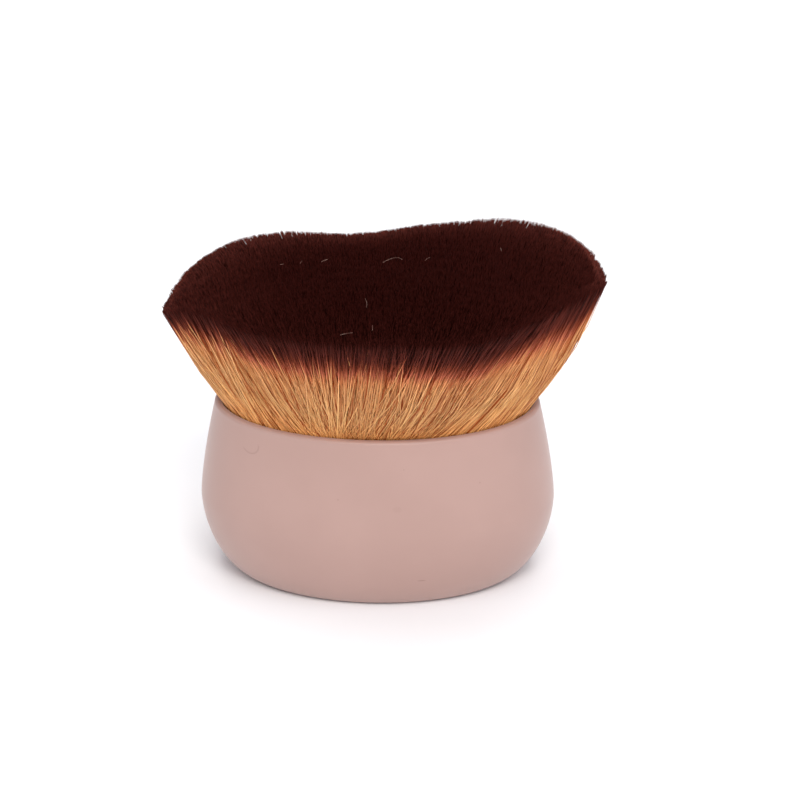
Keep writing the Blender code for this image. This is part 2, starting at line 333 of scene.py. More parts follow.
@dataclass(frozen=True)
class DipDye:
    """Golden synthetic filament with dip-dyed dark brown tips.

    The filament's own map gives both directions: across it runs the filament's shade, from the darkest to the
    lightest, and along it the place from the buried end at 0 to the tip at 1. A stop holds its place along,
    its colour in a middle shade and how the shade's gain acts on that colour. The shade is partly each
    filament's own tone and partly painted light: the darkest, deeper gold stands for shadowed gaps between
    strands and the lightest, pinker gold for highlights on lit strands.
    """

    roughness: float = 0.60
    specular: float = 0.03
    gloss: float = 0.55
    dyed_gloss: float = 0.08
    gloss_roughness: float = 0.30
    gloss_by_shade: Pair = (0.3, 1.2)
    gloss_end: Pair = (0.72, 0.52)
    matt_tip: Pair = (0.97, 0.88)
    gains: Pair = (0.42, 1.46)
    stops: tuple[tuple[float, Colour, Colour], ...] = (
        (0.0, (0.83, 0.257, 0.057), GOLD_GAIN),
        (0.14, (0.83, 0.257, 0.057), GOLD_GAIN),
        (0.30, (0.94, 0.300, 0.079), GOLD_GAIN),
        (0.57, (0.89, 0.265, 0.069), GOLD_GAIN),
        (0.63, (0.80, 0.220, 0.060), GOLD_GAIN),
        (0.69, (0.50, 0.110, 0.040), GOLD_GAIN),
        (0.75, (0.220, 0.0415, 0.0190), DARK_GAIN),
        (0.81, (0.112, 0.0200, 0.0121), DARK_GAIN),
        (0.92, (0.063, 0.0109, 0.0074), DARK_GAIN),
        (0.975, (0.027, 0.0032, 0.0021), TIP_GAIN),
        (1.0, (0.024, 0.0029, 0.0019), TIP_GAIN),
    )

    def make(self) -> bpy.types.Material:
        """Makes the material.

        A ramp along the filament goes from ochre at the mouth through gold and a short orange-brown passage
        to near-black brown. There is one ramp for the darkest shade and one for the lightest, and the
        filament's shade mixes them. A light shade is also glossier, and the cut ends are matt.
        """
        recipe = Recipe("dip_dyed_filament")
        shade, along, _ = recipe.parts(recipe.node("ShaderNodeUVMap", {"uv_map": FILAMENT_MAP}, {}))
        dark, light = (
            recipe.node("ShaderNodeValToRGB", {"stops": self.lengthwise(gain)}, {0: along})
            for gain in self.gains
        )
        dyed_shine = along.step(*self.matt_tip) * self.dyed_gloss
        least, rise = self.gloss_by_shade
        recipe.surface(
            Base_Color=recipe.blend(shade, dark, light),
            Roughness=self.roughness,
            Specular_IOR_Level=self.specular,
            Coat_Weight=dyed_shine + along.step(*self.gloss_end) * (least + rise * shade) * self.gloss,
            Coat_Roughness=self.gloss_roughness,
        )
        return recipe.material

    def lengthwise(self, gain: float) -> list[tuple[float, Colour]]:
        """Returns the ramp's stops for one shade.

        Args:
            gain: how light the shade is, with 1 in the middle.

        Returns:
            Each stop's place, and its colour times the gain to the power of each part. The lighter the shade,
            the pinker its gold, a painted highlight, and the redder its tips; the darker, the deeper its
            gold, a painted shade.
        """
        return [
            (place, tuple(min(1.0, part * gain**power) for part, power in zip(colour, powers)))
            for place, colour, powers in self.stops
        ]


@dataclass(frozen=True)
class PaleFilament:
    """Undyed filament: a dull pinkish beige."""

    tint: Colour = (0.52, 0.31, 0.25)
    deep_tint: Colour = (0.26, 0.12, 0.09)
    fleck_scale: float = 900.0
    roughness: float = 0.5

    def make(self) -> bpy.types.Material:
        """Makes the material: noise along the filament slides between two tints."""
        recipe = Recipe("undyed_filament")
        fleck = recipe.noise(recipe.spot(), self.fleck_scale).step(0.35, 0.65)
        recipe.surface(Base_Color=recipe.blend(fleck, self.tint, self.deep_tint), Roughness=self.roughness)
        return recipe.material


@dataclass(frozen=True)
class DrawnAluminium:
    """Plain drawn aluminium of the hidden ferrule cup, with the fine upright lines of the drawing die."""

    tint: Colour = (0.70, 0.70, 0.71)
    stain_tint: Colour = (0.60, 0.60, 0.62)
    stain_scale: float = 120.0
    line_scale: float = 3000.0
    line_stretch: float = 0.04
    line_depth: float = 8e-6
    line_rub: float = 0.2
    roughness: float = 0.34

    def make(self) -> bpy.types.Material:
        """Makes the material: noise stretched along Z gives upright lines in the roughness and the bump."""
        recipe = Recipe("drawn_aluminium")
        spot = recipe.spot()
        lines = recipe.node("ShaderNodeMapping", {}, {0: spot, "Scale": (1.0, 1.0, self.line_stretch)})
        drawn = recipe.noise(lines, self.line_scale, 3.0)
        stain = recipe.noise(spot, self.stain_scale, 3.0)
        recipe.surface(
            Base_Color=recipe.blend(stain, self.tint, self.stain_tint),
            Metallic=1.0,
            Roughness=self.roughness + (drawn - 0.5) * self.line_rub,
            Normal=recipe.bump(drawn, self.line_depth),
        )
        return recipe.material


@dataclass(frozen=True)
class CuredGlue:
    """Cured resin, slightly cloudy, used for the cup's adhesive and the filaments' bed."""

    name: str
    tint: Colour
    cloud: Colour
    roughness: float = 0.28
    cloud_scale: float = 220.0
    cloud_rub: float = 0.15
    dimple_scale: float = 900.0
    dimple_depth: float = 3e-5

    def make(self) -> bpy.types.Material:
        """Makes the material: a slow noise clouds the tint, and a finer one dimples the skin."""
        recipe = Recipe(self.name)
        spot = recipe.spot()
        cloud = recipe.noise(spot, self.cloud_scale, 4.0, 0.6)
        dimple = recipe.noise(spot, self.dimple_scale)
        recipe.surface(
            Base_Color=recipe.blend(cloud.step(0.3, 0.7), self.tint, self.cloud),
            Roughness=self.roughness + (cloud - 0.5) * self.cloud_rub,
            Normal=recipe.bump(dimple, self.dimple_depth),
        )
        return recipe.material


@dataclass(frozen=True)
class PaperFloor:
    """The plain pale floor of the studio."""

    tint: Colour = (0.93, 0.935, 0.955)
    dimming: float = 0.99
    cloud_scale: float = 3.0
    roughness: float = 0.85

    def make(self) -> bpy.types.Material:
        """Makes the material: a very faint, slow change of lightness."""
        recipe = Recipe("studio_paper")
        slow = recipe.noise(recipe.spot(), self.cloud_scale)
        recipe.surface(
            Base_Color=recipe.blend(slow, self.tint, tuple(part * self.dimming for part in self.tint)),
            Roughness=self.roughness,
            Specular_IOR_Level=0.1,
        )
        return recipe.material


def fill_mesh(name: str, points: Array, corners: WholeArray, counts: WholeArray) -> bpy.types.Mesh:
    """Makes a smooth mesh from whole arrays.

    Args:
        name: the mesh's name.
        points: one row per vertex.
        corners: the vertex of every corner, face after face.
        counts: how many corners each face has.

    Returns:
        The mesh.
    """
    mesh = bpy.data.meshes.new(name)
    mesh.vertices.add(len(points))
    mesh.vertices.foreach_set("co", points.astype(np.float32).ravel())
    mesh.loops.add(len(corners))
    mesh.loops.foreach_set("vertex_index", corners.astype(np.int32))
    mesh.polygons.add(len(counts))
    mesh.polygons.foreach_set("loop_start", (np.cumsum(counts) - counts).astype(np.int32))
    mesh.update(calc_edges=True)
    mesh.shade_smooth()
    return mesh


def placed(name: str, data: Any) -> bpy.types.Object:
    """Puts a mesh, a light or a camera into the scene.

    Args:
        name: the new object's name.
        data: the mesh, light or camera.

    Returns:
        The object, at the origin.
    """
    item = bpy.data.objects.new(name, data)
    bpy.context.scene.collection.objects.link(item)
    return item


def finish_piece(
    name: str, mesh: bpy.types.Mesh, material: bpy.types.Material, slot: Slot, *nodes: str
) -> None:
    """Puts a mesh into the scene as a piece of the brush.

    Args:
        name: the piece's name.
        mesh: its mesh, already in place.
        material: its one material.
        slot: the record's slot; not used.
        *nodes: the CAD nodes that it stands for.
    """
    mesh.materials.append(material)
    piece = placed(name, mesh)
    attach(piece, BODY)
    if nodes:
        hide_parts(*nodes)
    LOG.info("%s: %d faces, stands for %s", name, len(mesh.polygons), ", ".join(nodes) or "no node")


def turned_skin(name: str, halves: Array, heights: Array, segments: int) -> bpy.types.Mesh:
    """Makes a closed skin of level ovals.

    Row r and step s give the point (half width r times the cosine of the turn s, half depth r times its
    sine, height r). A pole at the middle of the first and the last oval closes the skin.

    Args:
        name: the mesh's name.
        halves: the ovals' half widths and half depths, from the bottom pole outwards, up and in again.
        heights: the ovals' heights.
        segments: the steps round an oval.

    Returns:
        The mesh, with its faces outwards.
    """
    turns = np.arange(segments) * 2 * math.pi / segments
    ring = np.stack([np.cos(turns), np.sin(turns)], axis=-1)
    level = halves[:, None, :] * ring[None]
    rows = np.concatenate([level, np.broadcast_to(heights[:, None, None], (*level.shape[:2], 1))], axis=-1)
    poles = np.array([[0.0, 0.0, heights[0]], [0.0, 0.0, heights[-1]]])
    points = np.concatenate([rows.reshape(-1, 3), poles])
    here = np.arange(segments)
    after = (here + 1) % segments
    start = np.arange(len(halves) - 1)[:, None] * segments
    above = start + segments
    quads = np.stack([start + here, start + after, above + after, above + here], axis=-1)
    low_pole, high_pole = len(points) - 2, len(points) - 1
    last = (len(halves) - 1) * segments
    low_fan = np.stack([after, here, np.full(segments, low_pole)], axis=-1)
    high_fan = np.stack([last + here, last + after, np.full(segments, high_pole)], axis=-1)
    corners = np.concatenate([quads.reshape(-1), low_fan.reshape(-1), high_fan.reshape(-1)])
    counts = np.concatenate([np.full(quads.size // 4, 4), np.full(2 * segments, 3)])
    return fill_mesh(name, points, corners, counts)


@dataclass(frozen=True)
class Handle:
    """The moulded handle: an oval pebble with a flat base and a blind oval socket in its top."""

    height: float = 0.0362
    belly_height: float = 0.0162
    foot: Pair = (0.0522, 0.0344)
    belly: Pair = (0.0702, 0.0463)
    rim: Pair = (0.0638, 0.0421)
    lip_radius: float = 0.0008
    lip_wall: float = 0.0012
    socket_depth: float = 0.0162
    lower_power: float = 1.75
    upper_power: float = 1.4
    segments: int = 256
    base_rows: int = 10
    lower_rows: int = 44
    upper_rows: int = 36
    lip_rows: int = 8
    socket_rows: int = 16
    paint: SatinPaint = field(default_factory=SatinPaint)

    @property
    def socket_half(self) -> Array:
        """Half the socket's width and depth."""
        return np.array(self.rim) / 2 - self.lip_wall

    def lower_side(self) -> tuple[Array, Array]:
        """Returns half sizes and heights of the side below the belly.

        A superellipse: with t from 0 to a quarter turn and p the power, the share of the way out is the sine
        of t and the share of the way down the cosine of t, each raised to 2 / p.
        """
        turn = np.linspace(0, math.pi / 2, self.lower_rows + 1)
        out = np.sin(turn) ** (2 / self.lower_power)
        down = np.cos(turn) ** (2 / self.lower_power)
        foot, belly = np.array(self.foot), np.array(self.belly)
        return (foot + (belly - foot) * out[:, None]) / 2, self.belly_height * (1 - down)

    def upper_side(self) -> tuple[Array, Array]:
        """Returns half sizes and heights from just above the belly to the foot of the lip's rounding.

        The side leans in by a power of the share of the way from the belly to the top.
        """
        side = self.height - self.lip_radius - self.belly_height
        heights = self.belly_height + side * np.arange(1, self.upper_rows + 1) / self.upper_rows
        above = (heights - self.belly_height) / (self.height - self.belly_height)
        belly, rim = np.array(self.belly), np.array(self.rim)
        return (belly - (belly - rim) * above[:, None] ** self.upper_power) / 2, heights

    def build(self) -> None:
        """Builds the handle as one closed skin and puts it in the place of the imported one."""
        lower, lower_heights = self.lower_side()
        upper, upper_heights = self.upper_side()
        base = lower[0] * (np.arange(1, self.base_rows + 1) / (self.base_rows + 1))[:, None]
        turn = math.pi / 2 * np.arange(1, self.lip_rows + 1) / self.lip_rows
        lip = upper[-1] - self.lip_radius * (1 - np.cos(turn))[:, None]
        lip_heights = upper_heights[-1] + self.lip_radius * np.sin(turn)
        down = np.arange(self.socket_rows + 1) / self.socket_rows
        wall = np.broadcast_to(self.socket_half, (len(down), 2))
        floor = self.socket_half * (1 - down[1:-1])[:, None]
        halves = np.concatenate([base, lower, upper, lip, wall, floor])
        heights = np.concatenate([
            np.zeros(len(base)),
            lower_heights,
            upper_heights,
            lip_heights,
            self.height - self.socket_depth * down,
            np.full(len(floor), self.height - self.socket_depth),
        ])
        mesh = turned_skin("handle_moulding", halves, heights, self.segments)
        mesh.set_sharp_from_angle(angle=SHARP_ANGLE)
        finish_piece("handle_moulding", mesh, self.paint.make(), Slot.HANDLE, "handle_body")


@dataclass(frozen=True)
class Seat:
    """What holds the filaments: a new bed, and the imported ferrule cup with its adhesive."""

    handle: Handle
    fit_gap: float = 0.0003
    adhesive_thickness: float = 0.0009
    cup_wall: float = 0.0007
    bed_height: float = 0.0060
    bed_rows: int = 12
    pole_share: float = 0.08
    dish: float = 0.05
    embed: float = 0.0020
    segments: int = 128
    cup: DrawnAluminium = field(default_factory=DrawnAluminium)
    adhesive: CuredGlue = CuredGlue("cup_glue", (0.60, 0.55, 0.42), (0.70, 0.66, 0.54))
    resin: CuredGlue = CuredGlue("bed_resin", (0.42, 0.30, 0.16), (0.55, 0.42, 0.26), 0.35)

    @property
    def bed_bottom(self) -> float:
        """The height of the bed's underside."""
        socket_floor = self.handle.height - self.handle.socket_depth
        return socket_floor + self.adhesive_thickness + self.cup_wall + 3 * self.fit_gap

    @property
    def bed_top(self) -> float:
        """The height of the bed's top."""
        return self.bed_bottom + self.bed_height

    @property
    def bed_half(self) -> Array:
        """Half the bed's width and depth."""
        return self.handle.socket_half - 2 * self.fit_gap - self.cup_wall

    @property
    def mouth_half(self) -> Array:
        """Half the width and depth of the filaments where they pass the lip."""
        return self.handle.socket_half - self.fit_gap

    def build(self) -> None:
        """Builds the bed and dresses the cup and its adhesive.

        The bed's top is slightly dished between the filaments: its height falls by the square of the share of
        the way in from the wall.
        """
        inner = np.linspace(self.pole_share, 1.0, self.bed_rows)
        outer = inner[::-1][1:]
        shares = np.concatenate([inner, [1.0], outer])
        climb = np.concatenate([np.zeros(self.bed_rows), [0.5], 1 - self.dish * (1 - outer) ** 2])
        heights = self.bed_bottom + self.bed_height * climb
        mesh = turned_skin("glue_bed", shares[:, None] * self.bed_half, heights, self.segments)
        mesh.set_sharp_from_angle(angle=SHARP_ANGLE)
        finish_piece("glue_bed", mesh, self.resin.make(), Slot.ADHESIVE)
        for name, finish in (("ferrule_cup", self.cup), ("cup_adhesive", self.adhesive)):
            material = finish.make()
            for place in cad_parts[name].material_slots:
                place.material = material
            LOG.info("%s: keeps its packed shape, dressed as %s", name, material.name)


@dataclass(frozen=True)
class Waves:
    """A smooth random field over the head's plan.

    Its value is a sum of plane sine waves in random directions with random phases.
    """

    seed: int
    shortest: float
    longest: float
    count: int = 28

    def drawn(self) -> tuple[Array, Array, Array]:
        """Returns the waves' wave vectors, phases and directions of pull."""
        rng = np.random.default_rng(self.seed)
        length = rng.uniform(self.shortest, self.longest, self.count)
        turn = rng.uniform(0, 2 * math.pi, self.count)
        phases = rng.uniform(0, 2 * math.pi, self.count)
        directions = np.stack([np.cos(turn), np.sin(turn)], axis=-1)
        return directions * (2 * math.pi / length)[:, None], phases, directions

    def height(self, spots: Array) -> Array:
        """Returns the field at plan points, with a spread of about 1."""
        vectors, phases, _ = self.drawn()
        return np.sin(spots @ vectors.T + phases).sum(axis=-1) * math.sqrt(2 / self.count)

    def pull(self, spots: Array) -> Array:
        """Returns the field's pull at plan points, towards the crests, with a spread of about 1."""
        vectors, phases, directions = self.drawn()
        return np.cos(spots @ vectors.T + phases) @ directions * math.sqrt(4 / self.count)


@dataclass(frozen=True)
class Bell:
    """A bell curve over the head's width: a size at its place, falling off over its length."""

    size: float
    place: float
    length: float

    def at(self, across: Array) -> Array:
        """Returns the size times e to the power of minus the square of the distance over the length."""
        return self.size * np.exp(-(((across - self.place) / self.length) ** 2))


def joined_bells(bells: tuple[Bell, ...], across: Array) -> Array:
    """Returns the sum of some bell curves at places across."""
    return sum(bell.at(across) for bell in bells)


@dataclass(frozen=True)
class Head:
    """The flared head of filaments, cut to a wave-edged crown that is taller and deeper on the right.

    The plan and the cut come first, then the filaments' spread and fan, their lines, their dye, their shades,
    and how far the outer tips are paler, which is painted rim light. Lengths are in metres; places across run
    from -1 to 1.
    """

    seat: Seat
    width: float = 0.0866
    depth: float = 0.0639
    shift: Pair = (0.0012, 0.0009)
    front_powers: tuple[float, float, float] = (1.11, 0.61, 0.13)
    back_powers: tuple[float, float, float] = (2.29, 0.65, -0.31)
    side_sharpness: float = 6.0
    waist: Bell = Bell(0.0059, -0.13, 0.35)
    dimple: Bell = Bell(0.0024, 0.32, 0.19)
    bulge: Bell = Bell(0.0060, 0.49, 0.28)
    wave: Bell = Bell(0.0013, -0.13, 0.35)
    right_lobe_depth: float = 0.0032
    left_end_skew: float = 0.05
    edge_standout: float = 0.0253
    right_rise: float = 0.0028
    back_rise: float = 0.0004
    side_fall: float = 0.0012
    left_end_fall: float = 0.0034
    right_end_fall: float = 0.0014
    end_fall_power: float = 6.0
    front_corner_fall: float = 0.0010
    twist_fall: float = 0.0007
    crown_rise: float = 0.0020
    crown_power: float = 2.5
    edge_round: float = 0.0012
    edge_power: float = 12.0

    seed: int = 11
    count: int = 52000
    core_border: float = 5.5 / 10.5
    place_spread: float = 0.42
    skin_share: float = 0.15
    skin_start: float = 0.955
    fan: tuple[float, float, float, float] = (0.12, 0.66, -0.28, 0.40)
    fan_swells: tuple[Bell, ...] = (
        Bell(-0.20, -0.54, 0.20),
        Bell(-0.17, 0.19, 0.15),
        Bell(0.20, 0.56, 0.20),
    )
    fan_power: float = 4.0
    foot_share: float = 0.35
    crossing: float = 0.048

    radius: float = 0.000076
    radius_spread: Pair = (0.62, 1.36)
    taper: tuple[float, ...] = (0.9, 1.0, 1.0, 1.0, 0.85)
    flare_bow: float = 0.36
    right_bow: float = 0.12
    bow_spread: float = 0.025
    shoulder: float = 0.08
    middle_down: float = 2.0
    end_start: float = 0.86
    gather: Waves = Waves(3, 0.0011, 0.0026)
    gather_pull: Pair = (0.00004, 0.00008)
    tip_spread: float = 0.00007
    uneven: Waves = Waves(4, 0.002, 0.006)
    uneven_rise: Pair = (0.00008, 0.00006)
    tip_lead: float = 0.00014
    tip_lag: float = 0.00028
    wander: tuple[float, float, float] = (0.00005, 0.00007, 0.00002)
    locks: Waves = Waves(8, 0.0010, 0.0030)
    lock_pull: tuple[float, float, float] = (0.00003, 0.00004, 0.0)

    dyed_length: float = 0.0092
    dyed_right_rise: float = 0.0005
    dyed_end_loss: float = 0.0022
    dye_lobes: tuple[Bell, ...] = (
        Bell(0.0060, 0.55, 0.30),
        Bell(0.0006, 0.28, 0.14),
        Bell(0.0016, 0.50, 0.08),
        Bell(0.0014, 0.66, 0.08),
        Bell(0.0036, 0.91, 0.08),
        Bell(0.0016, -0.56, 0.16),
        Bell(-0.0006, -0.87, 0.08),
    )
    dye_waves: Waves = Waves(5, 0.005, 0.014)
    dye_drift: float = 0.00030
    dye_fray: float = 0.0015
    stray_dye: float = 0.0036
    stray_share: float = 0.18
    least_dyed: float = 0.0025
    least_undyed: float = 0.35
    undyed_lobes: tuple[Bell, ...] = (Bell(-0.10, 0.59, 0.12), Bell(-0.06, 0.93, 0.06))
    most_undyed: float = 0.75
    map_lip: float = 0.12
    map_low: float = 0.26
    map_fall: float = 0.3
    map_margin: float = 0.01
    strip_half: float = 0.008
    root_cap_lift: float = 0.02

    # Each filament's shade: partly its own tone, partly painted light, darker ones for shadowed gaps and
    # lighter, pinker ones for lit highlights.
    middle_shade: float = 0.74
    right_shade_rise: float = 0.03
    shade_waves: Waves = Waves(6, 0.0016, 0.006)
    shade_drift: float = 0.03
    shade_spread: float = 0.38
    # Painted shade: a share of the filaments is darkened to stand for the shadowed gaps between strands.
    shadowed_share: float = 0.22
    shadowed_drop: float = 0.48

    # Painted rim light: how much paler the outer tips are, most along the back edge and the waist, as if lit
    # through from behind.
    pale_edge: float = 0.104
    pale_front: float = 0.25
    pale_right_loss: float = 0.45
    pale_waist: Bell = Bell(0.40, -0.20, 0.30)
    pale_start: float = 0.30
    pale_power: float = 1.3
    pale_skin: float = 0.080
    pale_skin_turn: Pair = (0.55, 1.2)
    shoulder_glow: float = 0.7
    dye: DipDye = field(default_factory=DipDye)

    def tip_plan(self, disk: Array) -> tuple[Array, Array]:
        """Maps points of the unit disk to the head's plan.

        The disk becomes a superellipse whose power changes with the turn: low in front, where both ends come
        to a rounded point, and high at the back. The left end leans to the back. The back edge is drawn in at
        the waist and the dimple, the front edge bulges, and all depths grow to the right.

        Args:
            disk: the points, one row each.

        Returns:
            Their places across and to the back, as shares of the head's half sizes.
        """
        radius = np.hypot(disk[..., 0], disk[..., 1])
        angle = np.arctan2(disk[..., 1], disk[..., 0])
        cosine, sine = np.cos(angle), np.sin(angle)
        front, rear = (
            base + middle * np.abs(sine) + right * cosine
            for base, middle, right in (self.front_powers, self.back_powers)
        )
        power = front + (rear - front) * (1 + np.tanh(self.side_sharpness * sine)) / 2
        reach = (np.abs(cosine) ** power + np.abs(sine) ** power) ** (-1 / power)
        across, back = radius * reach * cosine, radius * reach * sine
        across = across + self.left_end_skew * back * np.clip(-across, 0, 1) ** 3
        half_depth = self.depth / 2
        drawn_in = (self.waist.at(across) + self.dimple.at(across)) / half_depth * np.clip(back, 0, 1) ** 2
        pushed_out = self.bulge.at(across) / half_depth * np.clip(-back, 0, 1) ** 2
        return across, (back - drawn_in - pushed_out) * (1 + self.right_lobe_depth / half_depth * across)

    def tip_points(self, disk: Array) -> Array:
        """Maps points of the unit disk to the cut surface.

        The height is a low crown with a rounded edge that rises to the right and the back, falls to both ends
        and to the front corners, and dips along the waist.

        Args:
            disk: the points, one row each.

        Returns:
            Their places in metres.
        """
        across, back = self.tip_plan(disk)
        radius = np.hypot(disk[..., 0], disk[..., 1])
        height = self.seat.handle.height + self.edge_standout
        height = height + self.right_rise * across + self.back_rise * back
        height = height - self.side_fall * across**2 - self.twist_fall * across * back
        height = height - self.wave.at(across) * (1 + back) / 2
        height = height - self.left_end_fall * np.clip(-across, 0, 1) ** self.end_fall_power
        height = height - self.right_end_fall * np.clip(across, 0, 1) ** self.end_fall_power
        height = height - self.front_corner_fall * np.clip(-back, 0, 1) ** 2 * across**2
        height = height + self.crown_rise * (1 - radius**self.crown_power)
        height = height + self.edge_round * (1 - radius**self.edge_power)
        x = self.shift[0] + self.width / 2 * across
        y = self.shift[1] + self.depth / 2 * back
        return np.stack([x, y, height], axis=-1)

    def level_points(self, disk: Array, half: Array, height: float) -> Array:
        """Maps points of the unit disk to a level oval."""
        return np.concatenate([disk * half, np.full((*disk.shape[:-1], 1), height)], axis=-1)

    def disk_places(self, rng: np.random.Generator) -> Array:
        """Spreads the filaments over the unit disk.

        Filament k of n stands at the square root of k / n of the way out, a golden angle on from the last
        one, and is then moved a little at random. The last share of them thickens the outermost skin.

        Args:
            rng: the source of the random part.

        Returns:
            Their places in the disk, one row each.
        """
        skin = int(self.count * self.skin_share)
        inner = self.count - skin
        steps = np.arange(inner) + 0.5
        radius, angle = np.sqrt(steps / inner), steps * GOLDEN_ANGLE
        spread = rng.normal(0, self.place_spread / math.sqrt(inner), (inner, 2))
        places = np.stack([radius * np.cos(angle), radius * np.sin(angle)], axis=-1) + spread
        skin_radius = np.sqrt(rng.uniform(self.skin_start**2, 1, skin))
        skin_angle = (np.arange(skin) + rng.uniform(0, 1, skin)) * 2 * math.pi / skin
        outer = np.stack([skin_radius * np.cos(skin_angle), skin_radius * np.sin(skin_angle)], axis=-1)
        places = np.concatenate([places, outer])
        return places / np.maximum(np.hypot(places[:, 0], places[:, 1]), 1)[:, None]

    def fanned(self, disk: Array, rng: np.random.Generator) -> tuple[Array, Array]:
        """Fans the outer filaments out towards both ends.

        A filament's foot is turned back from its own angle in the disk by a share of the fan, and its tip on
        by the rest. The fan is the place to the front times a polynomial of the place across with a few
        swells, and falls off inwards by a power of the radius. A small random turn makes filaments cross.

        Args:
            disk: the filaments' places in the unit disk.
            rng: the source of the random part.

        Returns:
            The places of their feet and of their tips in the unit disk.
        """
        radius, angle = np.hypot(disk[:, 0], disk[:, 1]), np.arctan2(disk[:, 1], disk[:, 0])
        across = np.cos(angle)
        fan = np.polynomial.polynomial.polyval(across, self.fan) + joined_bells(self.fan_swells, across)
        turn = -np.sin(angle) * fan * radius**self.fan_power
        chance = rng.normal(0, self.crossing, len(disk))
        angles = (angle - self.foot_share * turn - chance, angle + (1 - self.foot_share) * turn + chance)
        foot, tip = (radius[:, None] * np.stack([np.cos(a), np.sin(a)], axis=-1) for a in angles)
        return foot, tip

    def dyed_lengths(self, disk: Array, rng: np.random.Generator) -> Array:
        """Works out how far down from its tip each filament is dyed: less towards both ends, and ragged.

        Lobes follow the line that the dye left, a slow field makes it wander, a normal spread frays it, and a
        few filaments took much more or much less of the dye.

        Args:
            disk: the places of the filaments' tips in the unit disk.
            rng: the source of the random part.

        Returns:
            The dyed lengths in metres.
        """
        across, _ = self.tip_plan(disk)
        slow = self.dye_waves.height(self.tip_points(disk)[..., :2])
        even = self.dyed_length + self.dyed_right_rise * across - self.dyed_end_loss * np.abs(across) ** 3
        even = even + joined_bells(self.dye_lobes, across)
        frayed = rng.normal(0, self.dye_fray, len(disk))
        stray = rng.uniform(-1, 1, len(disk)) * self.stray_dye
        stray *= rng.uniform(0, 1, len(disk)) < self.stray_share
        return np.clip(even + self.dye_drift * slow + frayed + stray, self.least_dyed, None)

    def shades(self, disk: Array, rng: np.random.Generator) -> Array:
        """Works out each filament's shade.

        It is lighter to the right, drifts with a field of locks and spreads at random, and a share of the
        filaments is much darker, painted shade that stands for the shadowed gaps between strands.

        Args:
            disk: the places of the filaments' tips in the unit disk.
            rng: the source of the random part.

        Returns:
            The shades, from 0 for the darkest and yellowest to 1 for the lightest and pinkest.
        """
        across, _ = self.tip_plan(disk)
        drift = self.shade_drift * self.shade_waves.height(self.tip_points(disk)[..., :2])
        spread = rng.normal(0, self.shade_spread, len(disk))
        # Painted shade: these filaments are darkened to stand for the shadowed gaps between strands.
        spread -= self.shadowed_drop * (rng.uniform(0, 1, len(disk)) < self.shadowed_share)
        return np.clip(self.middle_shade + self.right_shade_rise * across + drift + spread, 0, 1)

    def map_rows(self, disk: Array) -> Array:
        """Works out where each filament's points lie along its map.

        The map falls by the same amount for each dyed length below the tip. The outer tips end a little
        short of the map's end, which makes them paler as painted rim light: by a power of the radius, more to
        the back and at the waist, less to the right, and more again in the outermost skin.

        Args:
            disk: the filaments' places in the unit disk.

        Returns:
            The places of root, lip, low, middle, shoulder and tip, one row for each filament.
        """
        radius = np.hypot(disk[:, 0], disk[:, 1])
        right, rear = disk[:, 0] / radius, disk[:, 1] / radius
        backness = self.pale_front + (1 - self.pale_front) * (1 + rear) / 2
        backness *= 1 - self.pale_right_loss * np.clip(right, 0, 1)
        backness *= 1 + self.pale_waist.at(disk[:, 0]) * np.clip(disk[:, 1], 0, 1)
        outward = np.clip((radius - self.pale_start) / (1 - self.pale_start), 0, 1)
        # Painted rim light: the outer tips end short of the map's dark end, so they are lighter, most along
        # the back edge.
        painted_glow = self.pale_edge * backness * outward**self.pale_power
        least, rise = self.pale_skin_turn
        painted_glow += self.pale_skin * (radius > self.skin_start) * np.clip(least + rise * rear, 0, 1)
        middle, shoulder = 1 - self.map_fall * self.middle_down, 1 - self.map_fall * self.shoulder
        even = np.array([0.0, self.map_lip, self.map_low, middle, shoulder, 1.0])
        return even - painted_glow[:, None] * np.array([0, 0, 0, 0, self.shoulder_glow, 1.0])

    def centre_lines(self, foot: Array, disk: Array, dyed: Array, rng: np.random.Generator) -> Array:
        """Works out every filament's centre line.

        A filament runs from the glue through the lip's oval and leans out along a parabola to its tip. Tips
        are pulled together by a fine field. Lengths vary with a slower field, and most filaments fall a
        little short of the cut. Lower points get a random share of the bend. The middle point lies two dyed
        lengths below the tip, within limits.

        Args:
            foot: the places of the filaments' feet in the unit disk.
            disk: the places of their tips.
            dyed: their dyed lengths.
            rng: the source of the random part.

        Returns:
            Points in the order root, lip, low, middle, shoulder, tip for each filament.
        """
        count = len(disk)
        mouth = self.level_points(foot, self.seat.mouth_half, self.seat.handle.height)
        bed = self.level_points(foot, self.seat.bed_half, self.seat.bed_top)
        root = bed + (bed - mouth) * self.seat.embed / (self.seat.handle.height - self.seat.bed_top)
        tip = self.tip_points(disk)
        across, _ = self.tip_plan(disk)
        at_end = np.clip((np.abs(across) - self.end_start) / (1 - self.end_start), 0, 1)
        pull, end_pull = self.gather_pull
        tip[:, :2] += (pull + end_pull * at_end[:, None]) * self.gather.pull(tip[:, :2])
        tip[:, :2] += rng.normal(0, self.tip_spread, (count, 2))
        along = tip - mouth
        reach = np.linalg.norm(along, axis=-1)
        rise, end_rise = self.uneven_rise
        longer = (rise + end_rise * at_end) * self.uneven.height(tip[:, :2]) + self.tip_lead
        longer -= np.abs(rng.normal(0, self.tip_lag, count))
        tip += along / reach[:, None] * longer[:, None]
        along = tip - mouth
        reach = np.linalg.norm(along, axis=-1)
        least = self.least_undyed + joined_bells(self.undyed_lobes, across)
        middle = np.clip(1 - self.middle_down * dyed / reach, least, self.most_undyed)
        shares = np.stack([0.5 * middle, middle, 1 - self.shoulder * dyed / reach], axis=-1)
        bow = (self.flare_bow + self.right_bow * across + rng.normal(0, self.bow_spread, count))[:, None]
        lean = (1 + bow) * shares - bow * shares**2
        points = mouth[:, None] + along[:, None] * shares[..., None]
